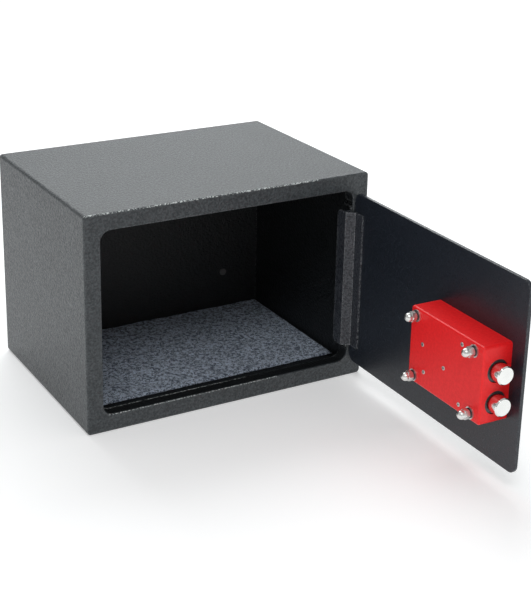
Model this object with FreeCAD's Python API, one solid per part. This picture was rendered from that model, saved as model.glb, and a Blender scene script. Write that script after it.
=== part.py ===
import FreeCAD, Part
import math
import os

# In-room safe with an electronic lock.  All dimensions are in millimetres.
# x runs to the right, y is the depth behind the front plane, z is the height above the base.
# Door parts are drawn with the door shut, then swung open about the hinge pins.

V = FreeCAD.Vector
X_AXIS = V(1, 0, 0)
Y_AXIS = V(0, 1, 0)
Z_AXIS = V(0, 0, 1)

# cabinet
WIDTH = 350.0
HEIGHT = 250.0
DEPTH = 250.0
SHEET = 2.0
BEND_R = 4.0
FRONT_EDGE_R = 1.6
OPEN_HALF = 156.0
OPEN_Z0 = 19.5
OPEN_Z1 = 230.5
OPEN_R = 12.0
OPEN_EDGE_R = 1.2
LIP_DEPTH = 16.0
HINGE_GAP_Z0 = 34.0
HINGE_GAP_Z1 = 216.0
NOTCH_Y = 9.5
NOTCH_HALF = 10.5
CUT = 1.0

# rear anchor holes and plugs
ANCHOR_X = 123.0
ANCHOR_Z = 51.0
ANCHOR_R = 3.5
PLUG_HEAD_R = 4.6
PLUG_HEAD_T = 1.2

# felt mat
MAT_HALF = 171.0
MAT_Y0 = 54.0
MAT_Y1 = 247.5
MAT_T = 3.0

# hinge
PIVOT_X = 157.5
PIVOT_Y = 4.3
OPEN_ANGLE = 89.0
PIN_R = 1.75
PIN_CLEAR = 0.05
PIN_REACH = 6.0
EYE_R = 4.0
EYE_BACK_Y = 2.05
BRACKET_PLATE_T = 3.0
BRACKET_GAP = 2.0
BRACKET_WEB_X = 160.0
BRACKET_WEB_T = 2.0
BRACKET_Y1 = 22.0
BRACKET_Z0 = 22.0
BRACKET_Z1 = 228.0
STRIP_Z0 = 41.5
STRIP_Z1 = 205.5
STRIP_T = 2.0
STRIP_FLANGE_X = 133.0
STRIP_BEND_X = 148.0
STRIP_LEG_X = 154.0
STRIP_LEG_Y = 13.6
STRIP_END_X = 169.4
STRIP_END_R = 6.0
LUG_T = 3.0
LUG_R = 2.0
LUG_X0 = 155.6
LUG_X1 = 165.0
LUG_SLOPE_Y = 10.0

# door leaf
DOOR_X0 = -154.5
DOOR_X1 = 152.5
DOOR_Z0 = 21.5
DOOR_Z1 = 228.5
DOOR_T = 4.0
DOOR_R = 10.0
DOOR_EDGE_R = 0.8

# lock cover
COVER_X0 = -136.0
COVER_X1 = -14.5
COVER_Z0 = 76.0
COVER_Z1 = 160.0
COVER_Y1 = 38.5
COVER_T = 1.5
COVER_R = 3.2
COVER_EDGE_R = 2.4
BOLT_HOLE_R = 12.5
STUD_XS = (-25.0, -121.5)
STUD_ZS = (84.5, 151.5)
STUD_R = 3.0
STUD_Y1 = 50.0
WASHER_R = 6.5
WASHER_T = 1.6
SPRING_WASHER_R = 5.4
SPRING_WASHER_T = 1.6
SPRING_WASHER_GAP = 1.2
NUT_FLATS = 10.0
NUT_HEX_H = 5.5
NUT_H = 12.0
NUT_DOME_R = 4.75
NUT_BORE_Y = 9.5
RIVET_AT = ((-37.6, 124.0), (-42.2, 94.7), (-74.8, 113.0), (-102.0, 150.3), (-102.9, 85.1))
RIVET_R = 1.6
RIVET_HEAD_R = 2.3
RIVET_HEAD_H = 0.9
RIVET_DIMPLE_R = 1.1
RIVET_DIMPLE_DEPTH = 0.6
GUIDE_RIVET = 2

# bolts and their carrier
BOLT_ZS = (98.0, 132.0)
BOLT_R = 10.0
BOLT_Y = 20.0
BOLT_TIP_X = -149.0
BOLT_END_X = -95.0
BOLT_CHAMFER = 1.2
BOLT_TRAVEL = 20.0
BOLT_SCREW_R = 2.5
BOLT_SCREW_DEPTH = 12.0
BOLT_SCREW_HEAD_R = 4.3
BOLT_SCREW_HEAD_H = 3.0
GUIDE_X0 = -134.3
GUIDE_X1 = -126.0
GUIDE_Z0 = 80.0
GUIDE_Z1 = 146.0
GUIDE_Y1 = 33.0
GUIDE_CLEAR = 0.05
CARRIER_T = 3.0
CARRIER_Y0 = 10.0
CARRIER_Z0 = 84.0
CARRIER_Z1 = 146.0
DRIVE_Y0 = 31.0
DRIVE_Y1 = 33.0
DRIVE_X1 = -24.5
DRIVE_Z0 = 105.0
DRIVE_Z1 = 138.0
GUIDE_STUD_R = 3.0
GUIDE_STUD_Y0 = 29.5
GUIDE_SLOT_HALF = 3.4
CRANK_SLOT_HALF = 3.6
CRANK_SLOT_Z0 = 121.4
CRANK_SLOT_Z1 = 134.6
PLUNGER_NOTCH_HALF = 3.8
PLUNGER_NOTCH_TOP = 110.0

# knob, spindle and crank
KNOB_X = -43.0
KNOB_Z = 115.0
KNOB_R = 16.0
KNOB_Y0 = -43.0
KNOB_Y1 = -24.6
KNOB_FLUTE_R = 4.0
KNOB_FLUTES = 12
KNOB_FLUTE_OUT = 2.9
KNOB_EDGE_R = 1.5
SPINDLE_R = 4.0
SPINDLE_CLEAR = 0.05
SPINDLE_Y0 = -36.0
CRANK_Y0 = 24.0
CRANK_Y1 = 28.0
CRANK_HUB_R = 6.0
CRANK_PIN_R = 3.0
CRANK_PIN_Y1 = 34.4
CRANK_TIP_R = 4.6
BUSH_R = 7.0
BUSH_FLANGE_R = 9.0
BUSH_FLANGE_T = 2.0
BUSH_Y0 = -20.0
BUSH_Y1 = 12.0

# latching solenoid and its plunger
COIL_X = -40.5
COIL_Y = 29.0
SOLENOID_Z0 = 80.0
SOLENOID_Z1 = 103.0
SOLENOID_HALF = 10.0
SOLENOID_Y0 = 20.0
SOLENOID_T = 1.6
COIL_R = 6.2
COIL_END_R = 7.2
COIL_FLANGE_T = 1.5
PLUNGER_R = 3.0
PLUNGER_CLEAR = 0.05
PLUNGER_TOP = 104.4
PLUNGER_Z0 = 84.0
BRACKET_T = 1.5
SOLENOID_BRACKET_X = (-53.0, -30.0)
SOLENOID_BRACKET_Z = (79.0, 130.0)

# keypad unit
PAD_X0 = -119.0
PAD_X1 = -15.0
PAD_Z0 = 70.0
PAD_Z1 = 166.0
PAD_Y0 = -24.0
PAD_WALL = 2.0
PAD_R = 9.0
PAD_FACE_R = 1.5
BOSS_AT = ((-60.0, 153.0), (-33.0, 153.0), (-107.0, 82.0), (-63.0, 82.0))
BOSS_R = 3.6
PAD_SCREW_R = 2.0
PAD_SCREW_HEAD_R = 3.5
PAD_SCREW_HEAD_H = 2.4
PAD_SCREW_DEPTH = 9.0
KEY_XS = (-107.0, -91.0, -75.0)
KEY_ZS = (148.0, 132.0, 116.0, 100.0)
KEY_NAMES = (
    ("key_1", "key_2", "key_3"),
    ("key_4", "key_5", "key_6"),
    ("key_7", "key_8", "key_9"),
    ("key_clear", "key_0", "key_enter"),
)
KEY_HALF = 5.9
KEY_HOLE_HALF = 6.2
KEY_R = 1.8
KEY_FLANGE_HALF = 7.0
KEY_FLANGE_T = 1.2
KEY_PROUD = 1.8
KEY_TOP_R = 0.7
KEY_GAP = 0.1
LED_AT = ((-97.0, 160.0), (-85.0, 160.0))
LED_R = 1.5
LED_PROUD = 0.8
LED_Y1 = -18.9
PCB_X = (-116.0, -64.0)
PCB_Z = (90.0, 162.0)
PCB_Y0 = -18.8
PCB_T = 1.6
CELL_ZS = (95.5, 110.5, 125.5, 140.5)
CELL_X = (-115.0, -66.0)
CELL_R = 7.0
CELL_Y = -9.0
CELL_CLEAR = 0.1
CELL_CAP_R = 2.7
CELL_CAP_H = 1.4
CELL_CAP_X = -64.6
HOLDER_X = (-115.0, -63.0)
HOLDER_Z = (87.0, 149.0)
HOLDER_Y0 = -16.6
HOLDER_BASE = 1.6
HATCH_Z = (86.0, 150.0)
HATCH_Y = (-17.0, -1.0)
HATCH_LIP = 1.5
HATCH_CLEAR = 0.2

# emergency lock under its swing cover
LOCK_X = -43.0
LOCK_Z = 84.0
LOCK_BARREL_R = 5.5
LOCK_BARREL_Y1 = 12.0
LOCK_ROSE_R = 8.0
LOCK_ROSE_T = 0.4
PLUG_R = 3.8
PLUG_CLEAR = 0.05
PLUG_SLOT = (0.8, 2.6)
PLUG_SLOT_DEPTH = 12.0
CAM_T = 2.0
CAM_R = 5.0
CAM_TIP_R = 2.5
CAM_REACH = 5.0
SWING_PIVOT_Z = 92.5
SWING_EYE_R = 4.0
SWING_HALF = 7.5
SWING_Z0 = 74.0
SWING_Y0 = -26.4
SWING_Y1 = -24.6
SWING_PIN_R = 1.5
SWING_PIN_CLEAR = 0.05
SWING_HEAD_R = 2.6
SWING_HEAD_T = 1.0
SWING_PIN_Y1 = -22.4

# tolerance, counts and values that follow from the sizes above
SMALL = 1e-4
QUARTER_TURN = 90.0
HEX_SIDES = 6
COVER_FACE = COVER_Y1 - COVER_T
NUT_Y0 = COVER_Y1 + WASHER_T + SPRING_WASHER_T
CRANK_RADIUS = BOLT_TRAVEL / 2 / math.sin(math.radians(QUARTER_TURN / 2))


# ---- helpers -------------------------------------------------------------------------------


def box(x0, x1, y0, y1, z0, z1):
    return Part.makeBox(x1 - x0, y1 - y0, z1 - z0, V(x0, y0, z0))


def rod_y(x, z, radius, y0, y1):
    return Part.makeCylinder(radius, y1 - y0, V(x, y0, z), Y_AXIS)


def rod_x(y, z, radius, x0, x1):
    return Part.makeCylinder(radius, x1 - x0, V(x0, y, z), X_AXIS)


def rod_z(x, y, radius, z0, z1):
    return Part.makeCylinder(radius, z1 - z0, V(x, y, z0), Z_AXIS)


def edges_along(shape, axis):
    chosen = []
    for edge in shape.Edges:
        if edge.Curve.TypeId != "Part::GeomLine":
            continue
        if abs(edge.Curve.Direction.dot(axis)) > 1 - SMALL:
            chosen.append(edge)
    return chosen


def edges_at_y(shape, y):
    chosen = []
    for edge in shape.Edges:
        bounds = edge.BoundBox
        if abs(bounds.YMin - y) < SMALL and abs(bounds.YMax - y) < SMALL:
            chosen.append(edge)
    return chosen


def slab(x0, x1, z0, z1, radius, y0, y1):
    # plate facing the front, with rounded corners
    plate = box(x0, x1, y0, y1, z0, z1)
    return plate.makeFillet(radius, edges_along(plate, Y_AXIS))


def outline(points, thickness):
    # prism over an outline in the x-y plane, standing on the outline's height
    wire = Part.makePolygon(points + [points[0]])
    return Part.Face(wire).extrude(V(0, 0, thickness))


def ring_y(x, z, outer, inner, y0, y1):
    return rod_y(x, z, outer, y0, y1).cut(rod_y(x, z, inner, y0 - CUT, y1 + CUT))


def group(shapes):
    return Part.makeCompound(shapes)


def fuse(shapes):
    return shapes[0].multiFuse(shapes[1:]).removeSplitter()


def cabinet_part(name, shape):
    placed = shape.copy()
    placed.translate(V(0, -DEPTH / 2, 0))
    placed.exportStep("parts/" + name + ".step")


def door_part(name, shape):
    placed = shape.copy()
    placed.rotate(V(PIVOT_X, PIVOT_Y, 0), Z_AXIS, OPEN_ANGLE)
    cabinet_part(name, placed)


# ---- cabinet -------------------------------------------------------------------------------


def opening(grow, y0, y1):
    x = OPEN_HALF + grow
    return slab(-x, x, OPEN_Z0 - grow, OPEN_Z1 + grow, OPEN_R + grow, y0, y1)


def body_shell():
    # folded wrap with a front frame and a lip turned back round the door opening
    outer = slab(-WIDTH / 2, WIDTH / 2, 0, HEIGHT, BEND_R, 0, DEPTH)
    outer = outer.makeFillet(FRONT_EDGE_R, edges_at_y(outer, 0))
    half = WIDTH / 2 - SHEET
    inner = slab(-half, half, SHEET, HEIGHT - SHEET, BEND_R - SHEET, SHEET, DEPTH + CUT)
    lip = opening(SHEET, SHEET / 2, LIP_DEPTH)
    shell = outer.cut(inner).fuse(lip).cut(opening(0, -CUT, LIP_DEPTH + CUT))
    shell = shell.removeSplitter()
    front = [e for e in edges_at_y(shell, 0) if abs(e.BoundBox.Center.z - HEIGHT / 2) < OPEN_Z1]
    inside = []
    for edge in front:
        bounds = edge.BoundBox
        if bounds.XMin > -OPEN_HALF - SMALL and bounds.XMax < OPEN_HALF + SMALL:
            if bounds.ZMin > OPEN_Z0 - SMALL and bounds.ZMax < OPEN_Z1 + SMALL:
                inside.append(edge)
    shell = shell.makeFillet(OPEN_EDGE_R, inside)
    far = OPEN_HALF + SHEET + CUT
    cuts = [box(OPEN_HALF - CUT, far, SHEET, LIP_DEPTH + CUT, HINGE_GAP_Z0, HINGE_GAP_Z1)]
    for z in BOLT_ZS:
        notch = box(-far, CUT - OPEN_HALF, NOTCH_Y, LIP_DEPTH + CUT, z - NOTCH_HALF, z + NOTCH_HALF)
        cuts.append(notch)
    return shell.cut(group(cuts))


def anchor_axes(radius, y0, y1):
    return [rod_y(side * ANCHOR_X, ANCHOR_Z, radius, y0, y1) for side in (-1, 1)]


def rear_panel():
    half = WIDTH / 2 - SHEET
    panel = slab(-half, half, SHEET, HEIGHT - SHEET, BEND_R - SHEET, DEPTH - SHEET, DEPTH)
    return panel.cut(group(anchor_axes(ANCHOR_R, DEPTH - SHEET - CUT, DEPTH + CUT)))


def anchor_plugs():
    # push-in plugs that close the unused wall anchor holes from inside
    plugs = []
    inner_wall = DEPTH - SHEET
    for side in (-1, 1):
        head = rod_y(side * ANCHOR_X, ANCHOR_Z, PLUG_HEAD_R, inner_wall - PLUG_HEAD_T, inner_wall)
        rim = edges_at_y(head, inner_wall - PLUG_HEAD_T)
        head = head.makeFillet(PLUG_HEAD_T / 2, rim)
        stem = rod_y(side * ANCHOR_X, ANCHOR_Z, ANCHOR_R, inner_wall - SMALL, DEPTH)
        plugs.append(fuse([head, stem]))
    return group(plugs)


def floor_mat():
    return slab_flat(-MAT_HALF, MAT_HALF, MAT_Y0, MAT_Y1, SHEET, SHEET + MAT_T)


def slab_flat(x0, x1, y0, y1, z0, z1):
    mat = box(x0, x1, y0, y1, z0, z1)
    return mat.makeFillet(BEND_R, edges_along(mat, Z_AXIS))


def hinge_bracket(z_end, z_plate, up):
    # channel behind the lip; its end plate carries the bearing eye of one hinge pin
    z0 = min(z_plate, z_plate + up * BRACKET_PLATE_T)
    z1 = z0 + BRACKET_PLATE_T
    inner = WIDTH / 2 - SHEET
    web_x1 = BRACKET_WEB_X + BRACKET_WEB_T
    plate = box(PIVOT_X, inner, EYE_BACK_Y, BRACKET_Y1, z0, z1)
    eye = rod_z(PIVOT_X, PIVOT_Y, EYE_R, z0, z1)
    eye = eye.cut(box(OPEN_HALF - CUT, inner, -CUT, EYE_BACK_Y, z0 - CUT, z1 + CUT))
    low = min(z_end, z0 + BRACKET_PLATE_T / 2)
    high = max(z_end, z0 + BRACKET_PLATE_T / 2)
    web = box(BRACKET_WEB_X, web_x1, EYE_BACK_Y, BRACKET_Y1, low, high)
    flange = box(inner - BRACKET_WEB_T, inner, EYE_BACK_Y, BRACKET_Y1, low, high)
    bracket = fuse([plate, eye, web, flange])
    return bracket.cut(rod_z(PIVOT_X, PIVOT_Y, PIN_R + PIN_CLEAR, z0 - CUT, z1 + CUT))


# ---- door leaf and hinge -------------------------------------------------------------------


def door_plate():
    leaf = slab(DOOR_X0, DOOR_X1, DOOR_Z0, DOOR_Z1, DOOR_R, 0, DOOR_T)
    leaf = leaf.makeFillet(DOOR_EDGE_R, edges_at_y(leaf, 0) + edges_at_y(leaf, DOOR_T))
    holes = [rod_y(KNOB_X, KNOB_Z, BUSH_R, -CUT, DOOR_T + CUT)]
    holes.append(rod_y(LOCK_X, LOCK_Z, LOCK_BARREL_R, -CUT, DOOR_T + CUT))
    for x, z in BOSS_AT:
        holes.append(rod_y(x, z, PAD_SCREW_R, -CUT, DOOR_T + CUT))
    return leaf.cut(group(holes))


def hinge_strip():
    # cranked strip spot-welded to the leaf; two lugs carry the hinge pins
    t = STRIP_T
    points = [
        V(STRIP_FLANGE_X, DOOR_T, STRIP_Z0),
        V(STRIP_BEND_X + t / 2, DOOR_T, STRIP_Z0),
        V(STRIP_LEG_X + t / 2, STRIP_LEG_Y, STRIP_Z0),
        V(STRIP_END_X, STRIP_LEG_Y, STRIP_Z0),
        V(STRIP_END_X, STRIP_LEG_Y + t, STRIP_Z0),
        V(STRIP_LEG_X - t / 2, STRIP_LEG_Y + t, STRIP_Z0),
        V(STRIP_BEND_X - t / 2, DOOR_T + t, STRIP_Z0),
        V(STRIP_FLANGE_X, DOOR_T + t, STRIP_Z0),
    ]
    strip = outline(points, STRIP_Z1 - STRIP_Z0)
    corners = []
    for edge in edges_along(strip, Y_AXIS):
        if abs(edge.BoundBox.XMin - STRIP_END_X) < SMALL:
            corners.append(edge)
    strip = strip.makeFillet(STRIP_END_R, corners)
    lugs = []
    for z in (STRIP_Z0, STRIP_Z1 - LUG_T):
        shape = [
            V(LUG_X0, PIVOT_Y, z),
            V(PIVOT_X + LUG_R, PIVOT_Y, z),
            V(LUG_X1 - STRIP_END_R, LUG_SLOPE_Y, z),
            V(LUG_X1 - STRIP_END_R, STRIP_LEG_Y + t / 2, z),
            V(LUG_X0, STRIP_LEG_Y + t / 2, z),
        ]
        lugs.append(outline(shape, LUG_T))
        lugs.append(rod_z(PIVOT_X, PIVOT_Y, LUG_R, z, z + LUG_T))
    return fuse([strip] + lugs)


def hinge_pins():
    lower = rod_z(PIVOT_X, PIVOT_Y, PIN_R, STRIP_Z0 - PIN_REACH, STRIP_Z0)
    upper = rod_z(PIVOT_X, PIVOT_Y, PIN_R, STRIP_Z1, STRIP_Z1 + PIN_REACH)
    return group([lower, upper])


# ---- lock cover and its fasteners ----------------------------------------------------------


def lock_cover():
    # folded box over the lock works, open towards the leaf
    outer = slab(COVER_X0, COVER_X1, COVER_Z0, COVER_Z1, COVER_R, DOOR_T, COVER_Y1)
    outer = outer.makeFillet(COVER_EDGE_R, edges_at_y(outer, COVER_Y1))
    inner = slab(
        COVER_X0 + COVER_T,
        COVER_X1 - COVER_T,
        COVER_Z0 + COVER_T,
        COVER_Z1 - COVER_T,
        COVER_R - COVER_T,
        DOOR_T - CUT,
        COVER_FACE,
    )
    cuts = [inner]
    for z in BOLT_ZS:
        cuts.append(rod_x(BOLT_Y, z, BOLT_HOLE_R, COVER_X0 - CUT, COVER_X0 + COVER_T + CUT))
    for x in STUD_XS:
        for z in STUD_ZS:
            cuts.append(rod_y(x, z, STUD_R, COVER_FACE - CUT, COVER_Y1 + CUT))
    for x, z in RIVET_AT:
        cuts.append(rod_y(x, z, RIVET_R, COVER_FACE - CUT, COVER_Y1 + CUT))
    return outer.cut(group(cuts))


def at_studs(make):
    return group([make(x, z) for x in STUD_XS for z in STUD_ZS])


def stud(x, z):
    return rod_y(x, z, STUD_R, DOOR_T, STUD_Y1)


def flat_washer(x, z):
    return ring_y(x, z, WASHER_R, STUD_R, COVER_Y1, COVER_Y1 + WASHER_T)


def spring_washer(x, z):
    y0 = COVER_Y1 + WASHER_T
    y1 = y0 + SPRING_WASHER_T
    ring = ring_y(x, z, SPRING_WASHER_R, STUD_R, y0, y1)
    half = SPRING_WASHER_GAP / 2
    return ring.cut(box(x - half, x + half, y0 - CUT, y1 + CUT, z, z + SPRING_WASHER_R + CUT))


def acorn_nut(x, z):
    corner = NUT_FLATS / math.sqrt(3)
    points = []
    for side in range(HEX_SIDES):
        angle = math.tau * side / HEX_SIDES
        points.append(V(x + corner * math.cos(angle), NUT_Y0, z + corner * math.sin(angle)))
    hexagon = Part.Face(Part.makePolygon(points + [points[0]])).extrude(V(0, NUT_HEX_H, 0))
    blank = rod_y(x, z, corner, NUT_Y0, NUT_Y0 + NUT_HEX_H)
    rims = edges_at_y(blank, NUT_Y0) + edges_at_y(blank, NUT_Y0 + NUT_HEX_H)
    blank = blank.makeChamfer(corner - NUT_FLATS / 2, rims)
    dome_y = NUT_Y0 + NUT_H - NUT_DOME_R
    neck = rod_y(x, z, NUT_DOME_R, NUT_Y0 + NUT_HEX_H / 2, dome_y)
    dome = Part.makeSphere(NUT_DOME_R, V(x, dome_y, z))
    nut = fuse([hexagon.common(blank), neck, dome])
    return nut.cut(rod_y(x, z, STUD_R, NUT_Y0 - CUT, NUT_Y0 + NUT_BORE_Y))


def cover_rivet(x, z):
    head = rod_y(x, z, RIVET_HEAD_R, COVER_Y1, COVER_Y1 + RIVET_HEAD_H)
    head = head.makeFillet(RIVET_HEAD_H / 2, edges_at_y(head, COVER_Y1 + RIVET_HEAD_H))
    shank = rod_y(x, z, RIVET_R, COVER_FACE, COVER_Y1)
    top = COVER_Y1 + RIVET_HEAD_H
    return fuse([head, shank]).cut(rod_y(x, z, RIVET_DIMPLE_R, top - RIVET_DIMPLE_DEPTH, top + CUT))


def cover_rivets():
    return group([cover_rivet(x, z) for x, z in RIVET_AT])


# ---- bolts and carrier ---------------------------------------------------------------------


def lock_bolt(z):
    bolt = rod_x(BOLT_Y, z, BOLT_R, BOLT_TIP_X, BOLT_END_X)
    tip = [e for e in bolt.Edges if abs(e.BoundBox.XMax - BOLT_TIP_X) < SMALL]
    bolt = bolt.makeChamfer(BOLT_CHAMFER, tip)
    return bolt.cut(rod_x(BOLT_Y, z, BOLT_SCREW_R, BOLT_END_X - BOLT_SCREW_DEPTH, BOLT_END_X + CUT))


def lock_bolts():
    return group([lock_bolt(z) for z in BOLT_ZS])


def bolt_screws():
    screws = []
    plate_x = BOLT_END_X + CARRIER_T
    for z in BOLT_ZS:
        shank = rod_x(BOLT_Y, z, BOLT_SCREW_R, BOLT_END_X - BOLT_SCREW_DEPTH, plate_x)
        head = rod_x(BOLT_Y, z, BOLT_SCREW_HEAD_R, plate_x, plate_x + BOLT_SCREW_HEAD_H)
        screws.append(fuse([shank, head]))
    return group(screws)


def bolt_guide():
    block = box(GUIDE_X0, GUIDE_X1, DOOR_T, GUIDE_Y1, GUIDE_Z0, GUIDE_Z1)
    bore = BOLT_R + GUIDE_CLEAR
    return block.cut(group([rod_x(BOLT_Y, z, bore, GUIDE_X0 - CUT, GUIDE_X1 + CUT) for z in BOLT_ZS]))


def carrier_plate():
    # angle that joins the bolts; its drive plate is slotted for the crank pin and guide stud
    x1 = BOLT_END_X + CARRIER_T
    end = box(BOLT_END_X, x1, CARRIER_Y0, DRIVE_Y1, CARRIER_Z0, CARRIER_Z1)
    drive = box(BOLT_END_X, DRIVE_X1, DRIVE_Y0, DRIVE_Y1, DRIVE_Z0, DRIVE_Z1)
    y0 = DRIVE_Y0 - CUT
    y1 = DRIVE_Y1 + CUT
    stud_x, stud_z = RIVET_AT[GUIDE_RIVET]
    cuts = [rod_x(BOLT_Y, z, BOLT_SCREW_R, BOLT_END_X - CUT, x1 + CUT) for z in BOLT_ZS]
    cuts.append(
        slab(
            stud_x - GUIDE_SLOT_HALF,
            stud_x + BOLT_TRAVEL + GUIDE_SLOT_HALF,
            stud_z - GUIDE_SLOT_HALF,
            stud_z + GUIDE_SLOT_HALF,
            GUIDE_SLOT_HALF - SMALL,
            y0,
            y1,
        )
    )
    crank_x = KNOB_X + BOLT_TRAVEL / 2
    cuts.append(
        slab(
            crank_x - CRANK_SLOT_HALF,
            crank_x + CRANK_SLOT_HALF,
            CRANK_SLOT_Z0,
            CRANK_SLOT_Z1,
            CRANK_SLOT_HALF - SMALL,
            y0,
            y1,
        )
    )
    notch_x0 = COIL_X - PLUNGER_NOTCH_HALF
    notch_x1 = COIL_X + PLUNGER_NOTCH_HALF
    cuts.append(box(notch_x0, notch_x1, y0, y1, DRIVE_Z0 - CUT, PLUNGER_NOTCH_TOP))
    return fuse([end, drive]).cut(group(cuts))


def guide_stud():
    x, z = RIVET_AT[GUIDE_RIVET]
    return rod_y(x, z, GUIDE_STUD_R, GUIDE_STUD_Y0, COVER_FACE)


# ---- solenoid ------------------------------------------------------------------------------


def solenoid_bracket():
    x0, x1 = SOLENOID_BRACKET_X
    z0, z1 = SOLENOID_BRACKET_Z
    return box(x0, x1, COVER_FACE - BRACKET_T, COVER_FACE, z0, z1)


def solenoid_frame():
    # open frame round the coil, bored for the plunger
    y1 = COVER_FACE - BRACKET_T
    t = SOLENOID_T
    x0 = COIL_X - SOLENOID_HALF
    x1 = COIL_X + SOLENOID_HALF
    outer = box(x0, x1, SOLENOID_Y0, y1, SOLENOID_Z0, SOLENOID_Z1)
    inner = box(x0 + t, x1 - t, SOLENOID_Y0 - CUT, y1 + CUT, SOLENOID_Z0 + t, SOLENOID_Z1 - t)
    bore = rod_z(COIL_X, COIL_Y, PLUNGER_R + PLUNGER_CLEAR, SOLENOID_Z1 - t - CUT, SOLENOID_Z1 + CUT)
    return outer.cut(group([inner, bore]))


def solenoid_coil():
    z0 = SOLENOID_Z0 + SOLENOID_T
    z1 = SOLENOID_Z1 - SOLENOID_T
    wound = rod_z(COIL_X, COIL_Y, COIL_R, z0, z1)
    low = rod_z(COIL_X, COIL_Y, COIL_END_R, z0, z0 + COIL_FLANGE_T)
    high = rod_z(COIL_X, COIL_Y, COIL_END_R, z1 - COIL_FLANGE_T, z1)
    flat = box(COIL_X - COIL_END_R, COIL_X + COIL_END_R, COVER_FACE - BRACKET_T, COVER_Y1, z0, z1)
    bore = rod_z(COIL_X, COIL_Y, PLUNGER_R + PLUNGER_CLEAR, PLUNGER_Z0 - CUT, z1 + CUT)
    return fuse([wound, low, high]).cut(group([bore, flat]))


def plunger():
    return rod_z(COIL_X, COIL_Y, PLUNGER_R, PLUNGER_Z0, PLUNGER_TOP)


# ---- knob, spindle and crank ---------------------------------------------------------------


def knob():
    body = rod_y(KNOB_X, KNOB_Z, KNOB_R, KNOB_Y0, KNOB_Y1)
    flutes = []
    for n in range(KNOB_FLUTES):
        angle = 2 * math.pi * n / KNOB_FLUTES
        out = KNOB_R + KNOB_FLUTE_OUT
        x = KNOB_X + out * math.cos(angle)
        z = KNOB_Z + out * math.sin(angle)
        flutes.append(rod_y(x, z, KNOB_FLUTE_R, KNOB_Y0 - CUT, KNOB_Y1 - 2 * CUT))
    body = body.cut(group(flutes))
    body = body.makeChamfer(KNOB_EDGE_R / 2, edges_at_y(body, KNOB_Y0))
    return body.cut(rod_y(KNOB_X, KNOB_Z, SPINDLE_R, SPINDLE_Y0, KNOB_Y1 + CUT))


def spindle():
    return rod_y(KNOB_X, KNOB_Z, SPINDLE_R, SPINDLE_Y0, CRANK_Y1)


def crank():
    # arm on the spindle; its pin drives the bolt carrier through the slot
    pin_x = KNOB_X + BOLT_TRAVEL / 2
    pin_z = KNOB_Z + math.sqrt(CRANK_RADIUS ** 2 - (BOLT_TRAVEL / 2) ** 2)
    hub = rod_y(KNOB_X, KNOB_Z, CRANK_HUB_R, CRANK_Y0, CRANK_Y1)
    tip = rod_y(pin_x, pin_z, CRANK_TIP_R, CRANK_Y0, CRANK_Y1)
    half = CRANK_TIP_R - SMALL
    arm = box(0, CRANK_RADIUS, CRANK_Y0, CRANK_Y1, -half, half)
    arm.rotate(V(0, 0, 0), Y_AXIS, -math.degrees(math.atan2(pin_z - KNOB_Z, pin_x - KNOB_X)))
    arm.translate(V(KNOB_X, 0, KNOB_Z))
    pin = rod_y(pin_x, pin_z, CRANK_PIN_R, CRANK_Y0, CRANK_PIN_Y1)
    return fuse([hub, tip, arm, pin]).cut(rod_y(KNOB_X, KNOB_Z, SPINDLE_R, CRANK_Y0 - CUT, CRANK_Y1 + CUT))


def spindle_bush():
    tube = rod_y(KNOB_X, KNOB_Z, BUSH_R, BUSH_Y0, BUSH_Y1)
    flange = rod_y(KNOB_X, KNOB_Z, BUSH_FLANGE_R, DOOR_T, DOOR_T + BUSH_FLANGE_T)
    bore = rod_y(KNOB_X, KNOB_Z, SPINDLE_R + SPINDLE_CLEAR, BUSH_Y0 - CUT, BUSH_Y1 + CUT)
    return fuse([tube, flange]).cut(bore)


# ---- keypad unit ---------------------------------------------------------------------------


def keypad_housing():
    # moulded cover on the front of the leaf, open towards the leaf
    outer = slab(PAD_X0, PAD_X1, PAD_Z0, PAD_Z1, PAD_R, PAD_Y0, 0)
    outer = outer.makeFillet(PAD_FACE_R, edges_at_y(outer, PAD_Y0))
    w = PAD_WALL
    inner = slab(PAD_X0 + w, PAD_X1 - w, PAD_Z0 + w, PAD_Z1 - w, PAD_R - w, PAD_Y0 + w, CUT)
    shell = outer.cut(inner)
    bosses = [rod_y(x, z, BOSS_R, PAD_Y0 + w / 2, 0) for x, z in BOSS_AT]
    shell = fuse([shell] + bosses)
    front = PAD_Y0 - CUT
    back = PAD_Y0 + w + CUT
    cuts = [rod_y(x, z, PAD_SCREW_R, -PAD_SCREW_DEPTH, CUT) for x, z in BOSS_AT]
    for x in KEY_XS:
        for z in KEY_ZS:
            h = KEY_HOLE_HALF
            cuts.append(slab(x - h, x + h, z - h, z + h, KEY_R, front, back))
    for x, z in LED_AT:
        cuts.append(rod_y(x, z, LED_R, front, back))
    cuts.append(rod_y(KNOB_X, KNOB_Z, SPINDLE_R + w / 2, front, back))
    cuts.append(rod_y(LOCK_X, LOCK_Z, LOCK_BARREL_R, front, back))
    cuts.append(rod_y(LOCK_X, SWING_PIVOT_Z, SWING_PIN_R, front, back))
    cuts.append(box(PAD_X0 - CUT, PAD_X0 + w + CUT, HATCH_Y[0], HATCH_Y[1], HATCH_Z[0], HATCH_Z[1]))
    return shell.cut(group(cuts))


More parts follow.
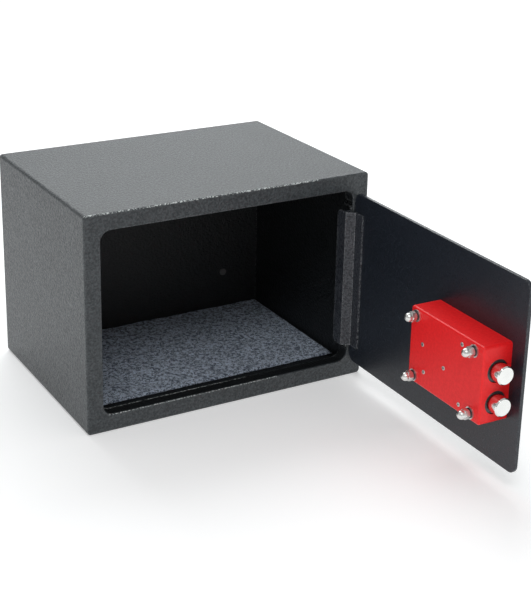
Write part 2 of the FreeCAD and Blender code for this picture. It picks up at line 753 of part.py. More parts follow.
def battery_cover():
    # lift-off cover on the side of the keypad unit
    c = HATCH_CLEAR
    body = box(PAD_X0, PAD_X0 + PAD_WALL, HATCH_Y[0] + c, HATCH_Y[1] - c, HATCH_Z[0] + c, HATCH_Z[1] - c)
    lip_z0 = HATCH_Z[0] - HATCH_LIP
    lip_z1 = HATCH_Z[1] + HATCH_LIP
    lip = box(PAD_X0 - HATCH_LIP, PAD_X0, HATCH_Y[0] - HATCH_LIP, HATCH_Y[1] - c, lip_z0, lip_z1)
    outer_edges = [e for e in lip.Edges if abs(e.BoundBox.XMax - PAD_X0 + HATCH_LIP) < SMALL]
    lip = lip.makeFillet(HATCH_LIP / 2, outer_edges)
    return fuse([body, lip])


def key_cap(x, z):
    wall = PAD_Y0 + PAD_WALL
    top = PAD_Y0 - KEY_PROUD
    h = KEY_HALF
    cap = slab(x - h, x + h, z - h, z + h, KEY_R - KEY_GAP, top, wall + KEY_GAP)
    cap = cap.makeFillet(KEY_TOP_R, edges_at_y(cap, top))
    f = KEY_FLANGE_HALF
    flange = slab(x - f, x + f, z - f, z + f, KEY_R, wall + KEY_GAP, wall + KEY_GAP + KEY_FLANGE_T)
    return fuse([cap, flange])


def led_lenses():
    lenses = []
    for x, z in LED_AT:
        lens = rod_y(x, z, LED_R, PAD_Y0 - LED_PROUD, LED_Y1)
        lenses.append(lens.makeFillet(LED_R / 2, edges_at_y(lens, PAD_Y0 - LED_PROUD)))
    return group(lenses)


def keypad_pcb():
    return slab(PCB_X[0], PCB_X[1], PCB_Z[0], PCB_Z[1], PAD_WALL, PCB_Y0, PCB_Y0 + PCB_T)


def battery_holder():
    # open tray with a wall between neighbouring cells
    y1 = -HOLDER_BASE / 2
    tray = box(HOLDER_X[0], HOLDER_X[1], HOLDER_Y0, y1, HOLDER_Z[0], HOLDER_Z[1])
    cuts = []
    for z in CELL_ZS:
        cuts.append(rod_x(CELL_Y, z, CELL_R + CELL_CLEAR, HOLDER_X[0] - CUT, CELL_X[1] + CELL_CAP_H))
        top = box(HOLDER_X[0] - CUT, CELL_X[1] + CELL_CAP_H, HOLDER_Y0 - CUT, CELL_Y, z - CELL_R, z + CELL_R)
        cuts.append(top)
    return tray.cut(group(cuts))


def batteries():
    cells = []
    for z in CELL_ZS:
        can = rod_x(CELL_Y, z, CELL_R, CELL_X[0], CELL_X[1])
        nub = rod_x(CELL_Y, z, CELL_CAP_R, CELL_X[1] - CUT, CELL_CAP_X)
        cells.append(fuse([can, nub]))
    return group(cells)


def pad_screws():
    screws = []
    for x, z in BOSS_AT:
        shank = rod_y(x, z, PAD_SCREW_R, -PAD_SCREW_DEPTH, DOOR_T)
        head = rod_y(x, z, PAD_SCREW_HEAD_R, DOOR_T, DOOR_T + PAD_SCREW_HEAD_H)
        head = head.makeFillet(PAD_SCREW_HEAD_H / 2, edges_at_y(head, DOOR_T + PAD_SCREW_HEAD_H))
        screws.append(fuse([shank, head]))
    return group(screws)


# ---- emergency lock ------------------------------------------------------------------------


def lock_barrel():
    rose = rod_y(LOCK_X, LOCK_Z, LOCK_ROSE_R, PAD_Y0 - LOCK_ROSE_T, PAD_Y0)
    rose = rose.cut(rod_y(LOCK_X, SWING_PIVOT_Z, SWING_HEAD_R, PAD_Y0 - LOCK_ROSE_T - CUT, PAD_Y0 + CUT))
    barrel = rod_y(LOCK_X, LOCK_Z, LOCK_BARREL_R, PAD_Y0 - LOCK_ROSE_T, LOCK_BARREL_Y1)
    bore = rod_y(LOCK_X, LOCK_Z, PLUG_R + PLUG_CLEAR, PAD_Y0 - CUT, LOCK_BARREL_Y1 + CUT)
    return fuse([rose, barrel]).cut(bore)


def key_plug():
    # turning plug with the keyway in front and the cam behind
    plug = rod_y(LOCK_X, LOCK_Z, PLUG_R, PAD_Y0, LOCK_BARREL_Y1 + PLUG_CLEAR * 2 + CAM_T)
    half_w, half_h = PLUG_SLOT
    slot = box(
        LOCK_X - half_w,
        LOCK_X + half_w,
        PAD_Y0 - CUT,
        PAD_Y0 + PLUG_SLOT_DEPTH,
        LOCK_Z - half_h,
        LOCK_Z + half_h,
    )
    cam_y0 = LOCK_BARREL_Y1 + PLUG_CLEAR * 2
    hub = rod_y(LOCK_X, LOCK_Z, CAM_R, cam_y0, cam_y0 + CAM_T)
    tip = rod_y(LOCK_X + CAM_REACH, LOCK_Z, CAM_TIP_R, cam_y0, cam_y0 + CAM_T)
    return fuse([plug, hub, tip]).cut(slot)


def key_cover():
    # drop-shaped cover that hangs over the keyhole
    eye = rod_y(LOCK_X, SWING_PIVOT_Z, SWING_EYE_R, SWING_Y0, SWING_Y1)
    leaf = slab(
        LOCK_X - SWING_HALF,
        LOCK_X + SWING_HALF,
        SWING_Z0,
        SWING_PIVOT_Z - SWING_EYE_R / 2,
        SWING_EYE_R,
        SWING_Y0,
        SWING_Y1,
    )
    return fuse([eye, leaf]).cut(
        rod_y(LOCK_X, SWING_PIVOT_Z, SWING_PIN_R + SWING_PIN_CLEAR, SWING_Y0 - CUT, SWING_Y1 + CUT)
    )


def key_cover_pin():
    stem = rod_y(LOCK_X, SWING_PIVOT_Z, SWING_PIN_R, SWING_Y0 - SWING_PIN_CLEAR * 2, SWING_PIN_Y1)
    head_y1 = SWING_Y0 - SWING_PIN_CLEAR * 2
    head = rod_y(LOCK_X, SWING_PIVOT_Z, SWING_HEAD_R, head_y1 - SWING_HEAD_T, head_y1)
    head = head.makeFillet(SWING_HEAD_T / 2, edges_at_y(head, head_y1 - SWING_HEAD_T))
    return fuse([stem, head])


# ---- export --------------------------------------------------------------------------------


def main():
    os.makedirs("parts", exist_ok=True)
    lower_plate = STRIP_Z0 - BRACKET_GAP
    upper_plate = STRIP_Z1 + BRACKET_GAP
    cabinet_part("body_shell", body_shell())
    cabinet_part("rear_panel", rear_panel())
    cabinet_part("anchor_plugs", anchor_plugs())
    cabinet_part("floor_mat", floor_mat())
    cabinet_part("hinge_bracket_lower", hinge_bracket(BRACKET_Z0, lower_plate, -1))
    cabinet_part("hinge_bracket_upper", hinge_bracket(BRACKET_Z1, upper_plate, 1))
    door_part("door_plate", door_plate())
    door_part("hinge_strip", hinge_strip())
    door_part("hinge_pins", hinge_pins())
    door_part("lock_cover", lock_cover())
    door_part("cover_studs", at_studs(stud))
    door_part("cover_washers", at_studs(flat_washer))
    door_part("spring_washers", at_studs(spring_washer))
    door_part("acorn_nuts", at_studs(acorn_nut))
    door_part("cover_rivets", cover_rivets())
    door_part("lock_bolts", lock_bolts())
    door_part("bolt_screws", bolt_screws())
    door_part("bolt_guide", bolt_guide())
    door_part("carrier_plate", carrier_plate())
    door_part("guide_stud", guide_stud())
    door_part("solenoid_bracket", solenoid_bracket())
    door_part("solenoid_frame", solenoid_frame())
    door_part("solenoid_coil", solenoid_coil())
    door_part("plunger", plunger())
    door_part("knob", knob())
    door_part("spindle", spindle())
    door_part("crank", crank())
    door_part("spindle_bush", spindle_bush())
    door_part("keypad_housing", keypad_housing())
    door_part("battery_cover", battery_cover())
    door_part("led_lenses", led_lenses())
    door_part("keypad_pcb", keypad_pcb())
    door_part("battery_holder", battery_holder())
    door_part("batteries", batteries())
    door_part("pad_screws", pad_screws())
    door_part("lock_barrel", lock_barrel())
    door_part("key_plug", key_plug())
    door_part("key_cover", key_cover())
    door_part("key_cover_pin", key_cover_pin())
    for names, z in zip(KEY_NAMES, KEY_ZS):
        for name, x in zip(names, KEY_XS):
            door_part(name, key_cap(x, z))


main()
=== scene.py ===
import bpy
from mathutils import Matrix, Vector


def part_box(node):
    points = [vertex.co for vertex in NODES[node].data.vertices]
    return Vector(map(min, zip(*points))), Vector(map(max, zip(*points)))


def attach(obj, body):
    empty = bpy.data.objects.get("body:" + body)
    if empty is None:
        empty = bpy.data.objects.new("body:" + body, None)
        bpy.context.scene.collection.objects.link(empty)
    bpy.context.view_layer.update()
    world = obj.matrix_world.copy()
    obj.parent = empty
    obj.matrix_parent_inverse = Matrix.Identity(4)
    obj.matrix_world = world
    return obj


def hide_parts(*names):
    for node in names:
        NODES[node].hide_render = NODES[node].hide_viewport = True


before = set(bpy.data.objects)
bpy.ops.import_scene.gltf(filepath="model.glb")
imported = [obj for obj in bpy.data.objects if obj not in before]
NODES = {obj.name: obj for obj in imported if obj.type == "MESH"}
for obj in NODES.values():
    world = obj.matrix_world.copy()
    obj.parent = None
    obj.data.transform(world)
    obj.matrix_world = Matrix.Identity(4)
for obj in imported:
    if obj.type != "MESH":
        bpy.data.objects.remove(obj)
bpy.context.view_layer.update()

import math

import bpy
from mathutils import Matrix, Vector

LOCK_NODES = ("key_plug", "key_cover", "key_cover_pin")         # named key_..., but no keypad keys

# ---- places on the door, in the coordinates of the shut door: x, depth and z, all in mm ------
MM = 0.001
PIVOT = (157.5, 4.3)
HALF_DEPTH = 125.0
OPEN = math.radians(89.0)
RIVET_AT = ((-37.6, 124.0), (-42.2, 94.7), (-74.8, 113.0), (-102.0, 150.3), (-102.9, 85.1))
CORE_RINGS = ((38.81, 1.05), (38.95, 1.0), (39.05, 0.6))        # depth and radius of each ring
CORE_TOP = 39.0
CORE_RAG = 0.05
CORE_SIDES = 20
KEY_X = (-107.0, -91.0, -75.0)
KEY_Z = (148.0, 132.0, 116.0, 100.0)
KEY_TOP = -25.8
DIGIT_H = 7.5
DIGIT_T = 0.12
DIGIT_EDGE = 0.03
MARK_SINK = 0.1
MARK_RISE = 0.12
CLEAR_BAR = (6.0, 1.0)
ENTER_DOT = (5.0, 5.0)
POINTER_AT = (-43.0, 124.5)
POINTER = (1.6, 9.0)
POINTER_DEPTHS = (-43.15, -42.8)
CORNER_STEPS = 8

# ---- places on the cabinet, in metres ---------------------------------------------------------
# painted shade: inside this box the body coat is painted darker
INSIDE = ((-0.1735, -0.1225, 0.0015), (0.1735, 0.2, 0.2485))
# painted highlights: bright specks painted along these edges stand for glints of light on the bends
PAINTED_GLINTS = (
    ((-0.1745, -0.1255, 0.2486), (0.110, -0.1238, 0.2505)),     # top front edge
    ((-0.1500, -0.1255, 0.0188), (0.060, -0.1240, 0.0206)),     # lower edge of the opening
    ((-0.1500, -0.1106, 0.0188), (0.030, -0.1085, 0.0206)),     # rear edge of the lower lip
)

# ---- the felt mat, in metres ------------------------------------------------------------------
MAT_FACES = (150, 90)
MAT_RIM = 0.0016
SIDE_STRAY = 0.0006
FRONT_STRAY = 0.0011
REAR_STRAY = 0.0033
SIDE_FADE = 12
END_FADE = 9
TOP_SWELL = 0.00045
TOP_ROLL = 0.0011
UNDER_ROLL = 0.0005

# ---- camera ------------------------------------------------------------------------------------
CAM_AT = Vector((-0.672318, -1.336097, 0.700708))
CAM_AZ = math.radians(-29.113)
CAM_EL = math.radians(18.952)
CAM_ROLL = math.radians(0.829)
SENSOR = 36.0
LENS = 81.25536
SHIFT = (0.0508, -0.1417)
CLIP = (0.05, 50)


def door_to_frame():
    """Takes metres on the shut door to the frame, where the door stands open."""
    pivot = Vector((PIVOT[0] * MM, (PIVOT[1] - HALF_DEPTH) * MM, 0))
    on_shut_door = Vector((PIVOT[0] * MM, PIVOT[1] * MM, 0))
    return Matrix.Translation(pivot) @ Matrix.Rotation(OPEN, 4, "Z") @ Matrix.Translation(-on_shut_door)


DOOR = door_to_frame()


# ---- procedural materials --------------------------------------------------------------------
class Mat:
    """A material whose nodes all read the object coordinates, which are metres in the frame."""

    def __init__(self, name):
        self.material = bpy.data.materials.new(name)
        self.material.use_nodes = True
        self.tree = self.material.node_tree
        self.shader = self.tree.nodes["Principled BSDF"]
        self.coord = self.tree.nodes.new("ShaderNodeTexCoord").outputs["Object"]

    def node(self, kind, **values):
        made = self.tree.nodes.new(kind)
        for key, value in values.items():
            setattr(made, key, value)
        return made

    def put(self, socket, value):
        if hasattr(value, "links"):
            self.tree.links.new(value, socket)
        else:
            socket.default_value = value

    def noise(self, scale, detail=3.0, rough=0.5, distortion=0.0):
        made = self.node("ShaderNodeTexNoise")
        self.put(made.inputs["Vector"], self.coord)
        self.put(made.inputs["Scale"], scale)
        self.put(made.inputs["Detail"], detail)
        self.put(made.inputs["Roughness"], rough)
        self.put(made.inputs["Distortion"], distortion)
        return made.outputs["Fac"]

    def cells(self, scale, smooth):
        made = self.node("ShaderNodeTexVoronoi", feature="SMOOTH_F1")
        self.put(made.inputs["Vector"], self.coord)
        self.put(made.inputs["Scale"], scale)
        self.put(made.inputs["Smoothness"], smooth)
        return made.outputs["Distance"]

    def mapped(self, value, low, high, a, b):
        made = self.node("ShaderNodeMapRange")
        self.put(made.inputs["Value"], value)
        for key, limit in zip(("From Min", "From Max", "To Min", "To Max"), (low, high, a, b)):
            self.put(made.inputs[key], limit)
        return made.outputs["Result"]

    def math(self, operation, a, b):
        made = self.node("ShaderNodeMath", operation=operation)
        self.put(made.inputs[0], a)
        self.put(made.inputs[1], b)
        return made.outputs[0]

    def mix(self, share, a, b):
        made = self.node("ShaderNodeMix", data_type="RGBA")
        self.put(made.inputs["Factor"], share)
        for socket, color in ((made.inputs[6], a), (made.inputs[7], b)):
            self.put(socket, color if hasattr(color, "links") else (*color, 1))
        return made.outputs[2]

    def bump(self, height, strength, distance):
        made = self.node("ShaderNodeBump")
        self.put(made.inputs["Height"], height)
        self.put(made.inputs["Strength"], strength)
        self.put(made.inputs["Distance"], distance)
        return made.outputs["Normal"]

    def within(self, low, high):
        """1 inside a box, 0 outside."""
        xyz = self.node("ShaderNodeSeparateXYZ")
        self.put(xyz.inputs[0], self.coord)
        inside = None
        for axis in range(3):
            for operation, limit in (("GREATER_THAN", low[axis]), ("LESS_THAN", high[axis])):
                test = self.math(operation, xyz.outputs[axis], limit)
                inside = test if inside is None else self.math("MULTIPLY", inside, test)
        return inside

    def edge(self, radius, low, high):
        """0 on flat faces, 1 along the edges."""
        bevel = self.node("ShaderNodeBevel", samples=6)
        self.put(bevel.inputs["Radius"], radius)
        geometry = self.node("ShaderNodeNewGeometry")
        cosine = self.node("ShaderNodeVectorMath", operation="DOT_PRODUCT")
        self.put(cosine.inputs[0], bevel.outputs["Normal"])
        self.put(cosine.inputs[1], geometry.outputs["True Normal"])
        return self.mapped(cosine.outputs["Value"], high, low, 0.0, 1.0)

    def finish(self, color, rough, metal, normal, **others):
        sockets = self.shader.inputs
        self.put(sockets["Base Color"], color)
        self.put(sockets["Roughness"], rough)
        self.put(sockets["Metallic"], metal)
        if normal is not None:
            self.put(sockets["Normal"], normal)
        for key, value in others.items():
            self.put(sockets[key.replace("_", " ")], value)
        return self.material


def scaled(color, factor):
    return tuple(channel * factor for channel in color)


def coat(name, dark, light, rough, grain, depth, strength, wear_and_highlight=None, spec=0.5, inside=None, painted_glints=()):
    """Powder coat: shallow cells over fine orange peel. The edges are rubbed glossier and lighter, partly
    wear and partly painted highlight; the coat inside the cabinet is painted darker as painted shade, and
    bright specks are painted along the edges in the given boxes as painted highlights."""
    m = Mat(name)
    big = m.cells(1 / (grain * 1.7), 0.7)
    fine = m.noise(1 / grain, 3.0, 0.6)
    height = m.math("ADD", m.math("MULTIPLY", big, 0.6), fine)
    broad = m.noise(14.0, 2.0)
    tone = m.mix(m.mapped(fine, 0.38, 0.64, 0.0, 1.0), dark, light)
    tone = m.mix(m.mapped(broad, 0.3, 0.7, 0.0, 0.3), tone, dark)
    roughness = m.mapped(fine, 0.3, 0.7, rough + 0.09, rough - 0.07)
    # painted shade: the coat inside the cabinet is painted darker
    if inside:
        inside_painted_shade = m.mix(0.5, scaled(dark, inside), scaled(light, inside))
        tone = m.mix(m.within(*INSIDE), tone, inside_painted_shade)
    # lighter edges: partly rubbed wear of the coat, partly a painted highlight along the edges
    if wear_and_highlight:
        rim = m.edge(0.0022, 0.93, 0.999)
        patch = m.mapped(m.noise(520.0, 3.0, 0.6), 0.46, 0.56, 0.0, 1.0)
        tone = m.mix(m.math("MULTIPLY", rim, patch), tone, wear_and_highlight)
        roughness = m.math("SUBTRACT", roughness, m.math("MULTIPLY", rim, 0.14))
    # painted highlights: bright specks painted along the edges inside each box
    for box in painted_glints:
        painted_glint_speck = m.mapped(m.noise(640.0, 2.0, 0.55), 0.50, 0.58, 0.0, 1.0)
        tone = m.mix(m.math("MULTIPLY", m.within(*box), painted_glint_speck), tone, (0.62, 0.66, 0.65))
    return m.finish(tone, roughness, 0.0, m.bump(height, strength, depth), Specular_IOR_Level=spec)


def steel(name, color, rough, brushed=0.0):
    m = Mat(name)
    fine = m.noise(1400.0, 4.0, 0.6)
    broad = m.noise(60.0, 3.0)
    tone = m.mix(m.mapped(broad, 0.3, 0.7, 0.0, 1.0), color, scaled(color, 0.9))
    roughness = m.mapped(fine, 0.3, 0.7, rough - 0.03, rough + 0.05)
    return m.finish(tone, roughness, 1.0, m.bump(fine, 0.02 + brushed, 0.00002))


def plastic(name, color, rough, grain=2600.0, strength=0.15, spec=0.5):
    m = Mat(name)
    fine = m.noise(grain, 3.0, 0.6)
    broad = m.noise(40.0, 3.0)
    tone = m.mix(m.mapped(broad, 0.3, 0.7, 0.0, 1.0), color, scaled(color, 0.82))
    roughness = m.mapped(fine, 0.3, 0.7, rough - 0.04, rough + 0.06)
    return m.finish(tone, roughness, 0.0, m.bump(fine, strength, 0.00006), Specular_IOR_Level=spec)


def felt():
    """Blue-grey heather: pale tufts over dark ones, with fine fibres across both."""
    m = Mat("felt")
    fibre = m.noise(820.0, 4.0, 0.7, 1.2)
    tuft = m.noise(300.0, 3.0, 0.7, 0.8)
    broad = m.noise(22.0, 3.0)
    tone = m.mix(m.mapped(tuft, 0.44, 0.54, 0.0, 1.0), (0.045, 0.060, 0.105), (0.76, 0.86, 1.0))
    tone = m.mix(m.mapped(fibre, 0.46, 0.60, 0.0, 0.55), tone, (0.10, 0.125, 0.185))
    tone = m.mix(m.mapped(broad, 0.35, 0.7, 0.0, 0.22), tone, (0.10, 0.12, 0.17))
    height = m.math("ADD", fibre, m.math("MULTIPLY", tuft, 1.6))
    return m.finish(tone, 0.95, 0.0, m.bump(height, 1.0, 0.0014), Sheen_Weight=0.3, Sheen_Roughness=0.5,
                    Sheen_Tint=(0.80, 0.88, 1.0, 1.0))


LOOKS = {
    "body": coat("body_coat", (0.018, 0.0225, 0.0255), (0.063, 0.073, 0.079), 0.40, 0.0020, 0.0010, 0.85,
                 wear_and_highlight=(0.17, 0.18, 0.185), inside=0.22, painted_glints=PAINTED_GLINTS),
    "door": coat("door_coat", (0.009, 0.012, 0.018), (0.024, 0.029, 0.039), 0.32, 0.0016, 0.00016, 0.6,
                 wear_and_highlight=(0.09, 0.095, 0.105)),
    # painted highlight: the strip coat is lighter than the door coat, standing for light on its web; its
    # stronger speckle is texture
    "strip": coat("strip_coat", (0.005, 0.007, 0.012), (0.080, 0.086, 0.099), 0.32, 0.0021, 0.0009, 0.8,
                  wear_and_highlight=(0.20, 0.21, 0.22)),
    "red": coat("red_coat", (0.82, 0.009, 0.011), (0.92, 0.013, 0.016), 0.36, 0.0030, 0.00005, 0.2,
                spec=0.35),
    "felt": felt(),
    # the plug's grey is partly its own colour and partly a painted glint
    "plug": plastic("plug_grey_and_painted_glint", (0.115, 0.115, 0.118), 0.35),
    "bright": steel("polished_steel", (0.86, 0.87, 0.85), 0.13),
    "nickel": steel("nickelled_nut", (0.80, 0.80, 0.78), 0.30),
    "zinc": steel("zinc_steel", (0.72, 0.72, 0.70), 0.28, 0.05),
    "dark": steel("dark_steel", (0.10, 0.10, 0.105), 0.38, 0.1),
    "copper": steel("coil_copper", (0.55, 0.22, 0.09), 0.35),
    "pad": plastic("pad_plastic", (0.022, 0.022, 0.025), 0.45, 2200.0, 0.3),
    "rubber": plastic("key_rubber", (0.060, 0.061, 0.066), 0.62, 3200.0, 0.2, 0.35),
    "knob": plastic("knob_plastic", (0.030, 0.030, 0.033), 0.28, 2600.0, 0.1),
    "led": plastic("led_lens", (0.20, 0.72, 0.26), 0.15),
    "pcb": plastic("circuit_board", (0.012, 0.105, 0.045), 0.35),
    "cell": plastic("cell_sleeve", (0.06, 0.08, 0.13), 0.25),
    "white": plastic("white_mark", (0.72, 0.73, 0.72), 0.5),
    "amber": plastic("amber_mark", (0.75, 0.30, 0.03), 0.5),
    "green": plastic("green_mark", (0.05, 0.42, 0.10), 0.5),
    "brass": steel("turned_brass", (0.62, 0.45, 0.18), 0.25),
}
NODES_WITH = {
    "body": ("body_shell", "rear_panel", "hinge_bracket_lower", "hinge_bracket_upper"),
    "door": ("door_plate",),
    "strip": ("hinge_strip",),
    "red": ("lock_cover",),
    "felt": ("floor_mat",),
    "plug": ("anchor_plugs",),
    "bright": ("lock_bolts", "plunger"),
    "nickel": ("acorn_nuts", "cover_washers"),
    "zinc": ("cover_studs", "cover_rivets", "guide_stud", "solenoid_bracket", "solenoid_frame", "pad_screws",
             "lock_barrel", "key_cover_pin", "carrier_plate", "spindle", "crank"),
    # the spring washers' dark steel is partly their own finish and partly painted shade behind the cap nuts
    "dark": ("hinge_pins", "spring_washers", "bolt_guide", "bolt_screws"),
    "copper": ("solenoid_coil",),
    "pad": ("keypad_housing", "battery_holder", "key_cover", "battery_cover"),
    "knob": ("knob",),
    "led": ("led_lenses",),
    "pcb": ("keypad_pcb",),
    "cell": ("batteries",),
    "brass": ("spindle_bush", "key_plug"),
    "rubber": tuple(name for name in NODES if name.startswith("key_") and name not in LOCK_NODES),
}


def dress_nodes():
    for look, names in NODES_WITH.items():
        for name in names:
            slots = NODES[name].data.materials
            slots.clear()
            slots.append(LOOKS[look])


# ---- modelled pieces -------------------------------------------------------------------------
def add_piece(name, mesh, look):
    piece = bpy.data.objects.new(name, mesh)
    bpy.context.scene.collection.objects.link(piece)
    mesh.materials.clear()
    mesh.materials.append(LOOKS[look])
    return piece


def piece_from(name, points, faces, look, smooth=True):
    mesh = bpy.data.meshes.new(name)
    mesh.from_pydata(points, [], faces)
    mesh.validate()
    mesh.update()
    mesh.polygons.foreach_set("use_smooth", [smooth] * len(mesh.polygons))
    return add_piece(name, mesh, look)


def put_on_door(piece, body):
    """Moves a piece made in the shut door's metres to the frame and hangs it on its body."""
    piece.data.transform(DOOR)
    piece.data.update()
    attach(piece, body)


def wave(u, v, seed):
    return (
        math.sin(u * 3.1 + seed) * math.cos(v * 4.3 - seed)
        + 0.5 * math.sin(u * 9.7 + v * 7.1 + seed * 2)
        + 0.25 * math.sin(u * 23.0 - v * 19.0 + seed * 3)
    ) / 1.75


def edge_share(distance, fade):
    return max(0.0, 1 - distance * fade)


def felt_point(low, high, u, v, top):
    width, depth = high.x - low.x, high.y - low.y
    cut_x = SIDE_STRAY * (1 + wave(v * 9, 0.3, 1.0 + round(u))) / 2
    stray = FRONT_STRAY + (REAR_STRAY - FRONT_STRAY) * v
    cut_y = stray * (1 + wave(u * 9, 0.7, 2.0 + round(v))) / 2
    x = low.x + width * u + cut_x * (edge_share(u, SIDE_FADE) - edge_share(1 - u, SIDE_FADE))
    y = low.y + depth * v + cut_y * (edge_share(v, END_FADE) - edge_share(1 - v, END_FADE))
    near = min(u * width, (1 - u) * width, v * depth, (1 - v) * depth)
    roll = 1 - math.sqrt(max(0.0, 1 - (1 - min(near / MAT_RIM, 1.0)) ** 2))
    if top:
        return x, y, high.z - TOP_SWELL * (1 + wave(u * 11, v * 7, 0.4)) / 2 - TOP_ROLL * roll
    return x, y, low.z + UNDER_ROLL * roll


def sheet_faces(nx, ny):
    """Two layers of a grid, the lower one first, joined all round the rim."""
    row, size = nx + 1, (nx + 1) * (ny + 1)
    faces = []
    for j in range(ny):
        for i in range(nx):
            a = j * row + i
            faces.append((a, a + row, a + row + 1, a + 1))
            faces.append((size + a, size + a + 1, size + a + row + 1, size + a + row))
    rim = list(range(nx)) + [nx + j * row for j in range(ny)]
    rim += [ny * row + nx - i for i in range(nx)] + [(ny - j) * row for j in range(ny)]
    for a, b in zip(rim, rim[1:] + rim[:1]):
        faces.append((a, b, size + b, size + a))
    return faces


def felt_mat():
    """Felt laid loose in the cabinet: rolled rims, a slightly uneven cut and a gently uneven surface."""
    low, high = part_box("floor_mat")
    nx, ny = MAT_FACES
    grid = [(i / nx, j / ny) for j in range(ny + 1) for i in range(nx + 1)]
    points = [felt_point(low, high, u, v, top) for top in (False, True) for u, v in grid]
    mat = piece_from("felt_floor_mat", points, sheet_faces(nx, ny), "felt")
    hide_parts("floor_mat")
    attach(mat, "cabinet")


def rivet_core(x, z, phase):
    """The points and faces of one broken-off mandrel with a ragged top."""
    points, faces = [], []
    for y, radius in CORE_RINGS:
        for side in range(CORE_SIDES):
            a = 2 * math.pi * side / CORE_SIDES
            rag = CORE_RAG * math.sin(3 * a + phase)
            points.append(((x + radius * math.cos(a)) * MM, (y + rag) * MM, (z + radius * math.sin(a)) * MM))
    points.append((x * MM, CORE_TOP * MM, z * MM))
    for ring in range(len(CORE_RINGS) - 1):
        for side in range(CORE_SIDES):
            a = ring * CORE_SIDES + side
            b = ring * CORE_SIDES + (side + 1) % CORE_SIDES
            faces.append((a, b, b + CORE_SIDES, a + CORE_SIDES))
    last = (len(CORE_RINGS) - 1) * CORE_SIDES
    for side in range(CORE_SIDES):
        faces.append((last + side, last + (side + 1) % CORE_SIDES, last + CORE_SIDES))
    faces.append(tuple(reversed(range(CORE_SIDES))))
    return points, faces


def rivet_cores():
    points, faces = [], []
    for phase, (x, z) in enumerate(RIVET_AT):
        base = len(points)
        core_points, core_faces = rivet_core(x, z, phase)
        points += core_points
        faces += [tuple(base + corner for corner in face) for face in core_faces]
    # the mandrels are a real part; their dark steel is painted shade for the hollow rivet heads
    put_on_door(piece_from("rivet_cores", points, faces, "dark"), "door")


def digit(text, x, z):
    """A thin raised digit on its key, facing the front of the shut door."""
    name = "digit_" + text
    curve = bpy.data.curves.new(name, "FONT")
    curve.body = text
    curve.size = DIGIT_H * MM
    curve.align_x = "CENTER"
    curve.align_y = "CENTER"
    curve.extrude = DIGIT_T * MM
    curve.bevel_depth = DIGIT_EDGE * MM
    written = bpy.data.objects.new(name + "_text", curve)
    bpy.context.scene.collection.objects.link(written)
    bpy.context.view_layer.update()
    mesh = bpy.data.meshes.new_from_object(written.evaluated_get(bpy.context.evaluated_depsgraph_get()))
    bpy.data.objects.remove(written)
    mesh.name = name
    upright = Matrix.Rotation(math.pi / 2, 4, "X")
    mesh.transform(Matrix.Translation((x * MM, KEY_TOP * MM, z * MM)) @ upright)
    put_on_door(add_piece(name, mesh, "white"), "key_" + text)


def bar(name, at, size, depths, body, look, turn=0.0):
    """A bar with round ends, facing the front of the shut door."""
    radius = min(size) / 2
    half_w, half_h = size[0] / 2 - radius, size[1] / 2 - radius
    centres = ((half_w, half_h), (-half_w, half_h), (-half_w, -half_h), (half_w, -half_h))
    rim = []
    for quarter, (cx, cz) in enumerate(centres):
        for step in range(CORNER_STEPS + 1):
            a = math.pi / 2 * (quarter + step / CORNER_STEPS)
            rim.append((cx + radius * math.cos(a), cz + radius * math.sin(a)))
    c, s = math.cos(turn), math.sin(turn)
    rim = [(at[0] + x * c - z * s, at[1] + x * s + z * c) for x, z in rim]
    points = [(x * MM, depth * MM, z * MM) for depth in depths for x, z in rim]
    count = len(rim)
    faces = [tuple(range(count)), tuple(reversed(range(count, 2 * count)))]
    faces += [(k, k + count, (k + 1) % count + count, (k + 1) % count) for k in range(count)]
    put_on_door(piece_from(name, points, faces, look, smooth=False), body)


def key_marks():
    for texts, z in zip(("123", "456", "789"), KEY_Z):
        for text, x in zip(texts, KEY_X):
            digit(text, x, z)
    left, middle, right = KEY_X
    bottom = KEY_Z[-1]
    digit("0", middle, bottom)
    mark = (KEY_TOP - MARK_RISE, KEY_TOP + MARK_SINK)
    over = (KEY_TOP - MARK_RISE - 0.04, KEY_TOP + MARK_SINK)
    slant = math.radians(45)
    bar("mark_clear_a", (left, bottom), CLEAR_BAR, mark, "key_clear", "amber", slant)
    bar("mark_clear_b", (left, bottom), CLEAR_BAR, over, "key_clear", "amber", -slant)
    bar("mark_enter", (right, bottom), ENTER_DOT, mark, "key_enter", "green")


# ---- floor, light and camera -----------------------------------------------------------------
def floor():
    bpy.ops.mesh.primitive_plane_add(size=30, location=(0, 0, -0.0002))
    plane = bpy.context.object
    plane.name = "stage_floor"
    m = Mat("stage_floor")
    tone = m.mix(m.noise(3.0), (0.88, 0.88, 0.88), (0.91, 0.91, 0.91))
    pale = m.finish(tone, 0.9, 0.0, None, Emission_Color=(1, 1, 1, 1), Emission_Strength=0.27)
    plane.data.materials.append(pale)


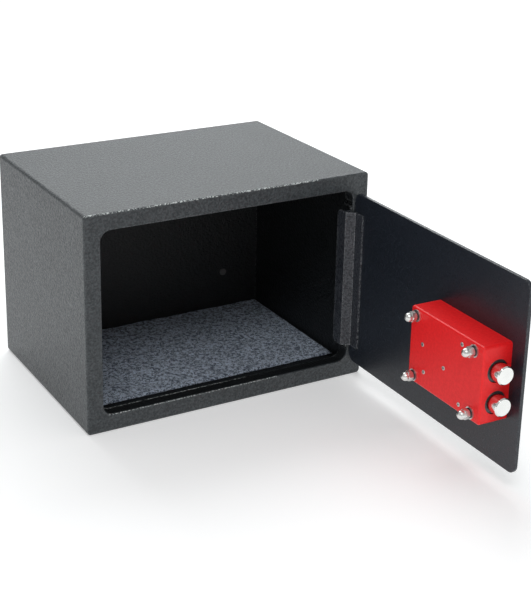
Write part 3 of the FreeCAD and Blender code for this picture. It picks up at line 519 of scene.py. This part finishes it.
def sky():
    world = bpy.data.worlds.new("studio")
    world.use_nodes = True
    background = world.node_tree.nodes["Background"]
    background.inputs["Color"].default_value = (1, 1, 1, 1)
    background.inputs["Strength"].default_value = 0.50
    bpy.context.scene.world = world


def softbox(name, spot, aim, size, watts, color):
    light = bpy.data.lights.new(name, "AREA")
    light.shape = "RECTANGLE"
    light.size, light.size_y = size
    light.energy = watts
    light.color = color
    lamp = bpy.data.objects.new(name, light)
    bpy.context.scene.collection.objects.link(lamp)
    lamp.location = spot
    lamp.rotation_mode = "QUATERNION"
    lamp.rotation_quaternion = (Vector(aim) - Vector(spot)).to_track_quat("-Z", "Y")
    return lamp


def lights():
    softbox("top_light", (0.5, 1.4, 2.0), (0.1, 0, 0.2), (2.0, 1.2), 32, (0.96, 1.0, 1.01))
    low = softbox("back_light", (1.5, 2.6, 1.25), (0, 0, 0.25), (1.8, 0.8), 9, (0.96, 1.0, 1.01))
    low.visible_camera = False
    softbox("front_light", (-0.8, -1.8, 2.5), (0.05, -0.25, 0.05), (1.4, 1.0), 21, (0.97, 1.0, 1.02))


def camera():
    flat = math.cos(CAM_EL)
    back = Vector((math.sin(CAM_AZ) * flat, -math.cos(CAM_AZ) * flat, math.sin(CAM_EL)))
    level = Vector((math.cos(CAM_AZ), math.sin(CAM_AZ), 0))
    upright = back.cross(level)
    c, s = math.cos(CAM_ROLL), math.sin(CAM_ROLL)
    side, up = c * level + s * upright, c * upright - s * level
    lens = bpy.data.cameras.new("camera")
    lens.sensor_width = SENSOR
    lens.lens = LENS
    lens.shift_x, lens.shift_y = SHIFT
    lens.clip_start, lens.clip_end = CLIP
    viewer = bpy.data.objects.new("camera", lens)
    bpy.context.scene.collection.objects.link(viewer)
    viewer.matrix_world = Matrix.Translation(CAM_AT) @ Matrix((side, up, back)).transposed().to_4x4()
    bpy.context.scene.camera = viewer


dress_nodes()
felt_mat()
rivet_cores()
key_marks()
bar("knob_pointer", POINTER_AT, POINTER, POINTER_DEPTHS, "knob_set", "white")
floor()
sky()
lights()
camera()
bpy.context.scene.view_settings.view_transform = "Standard"
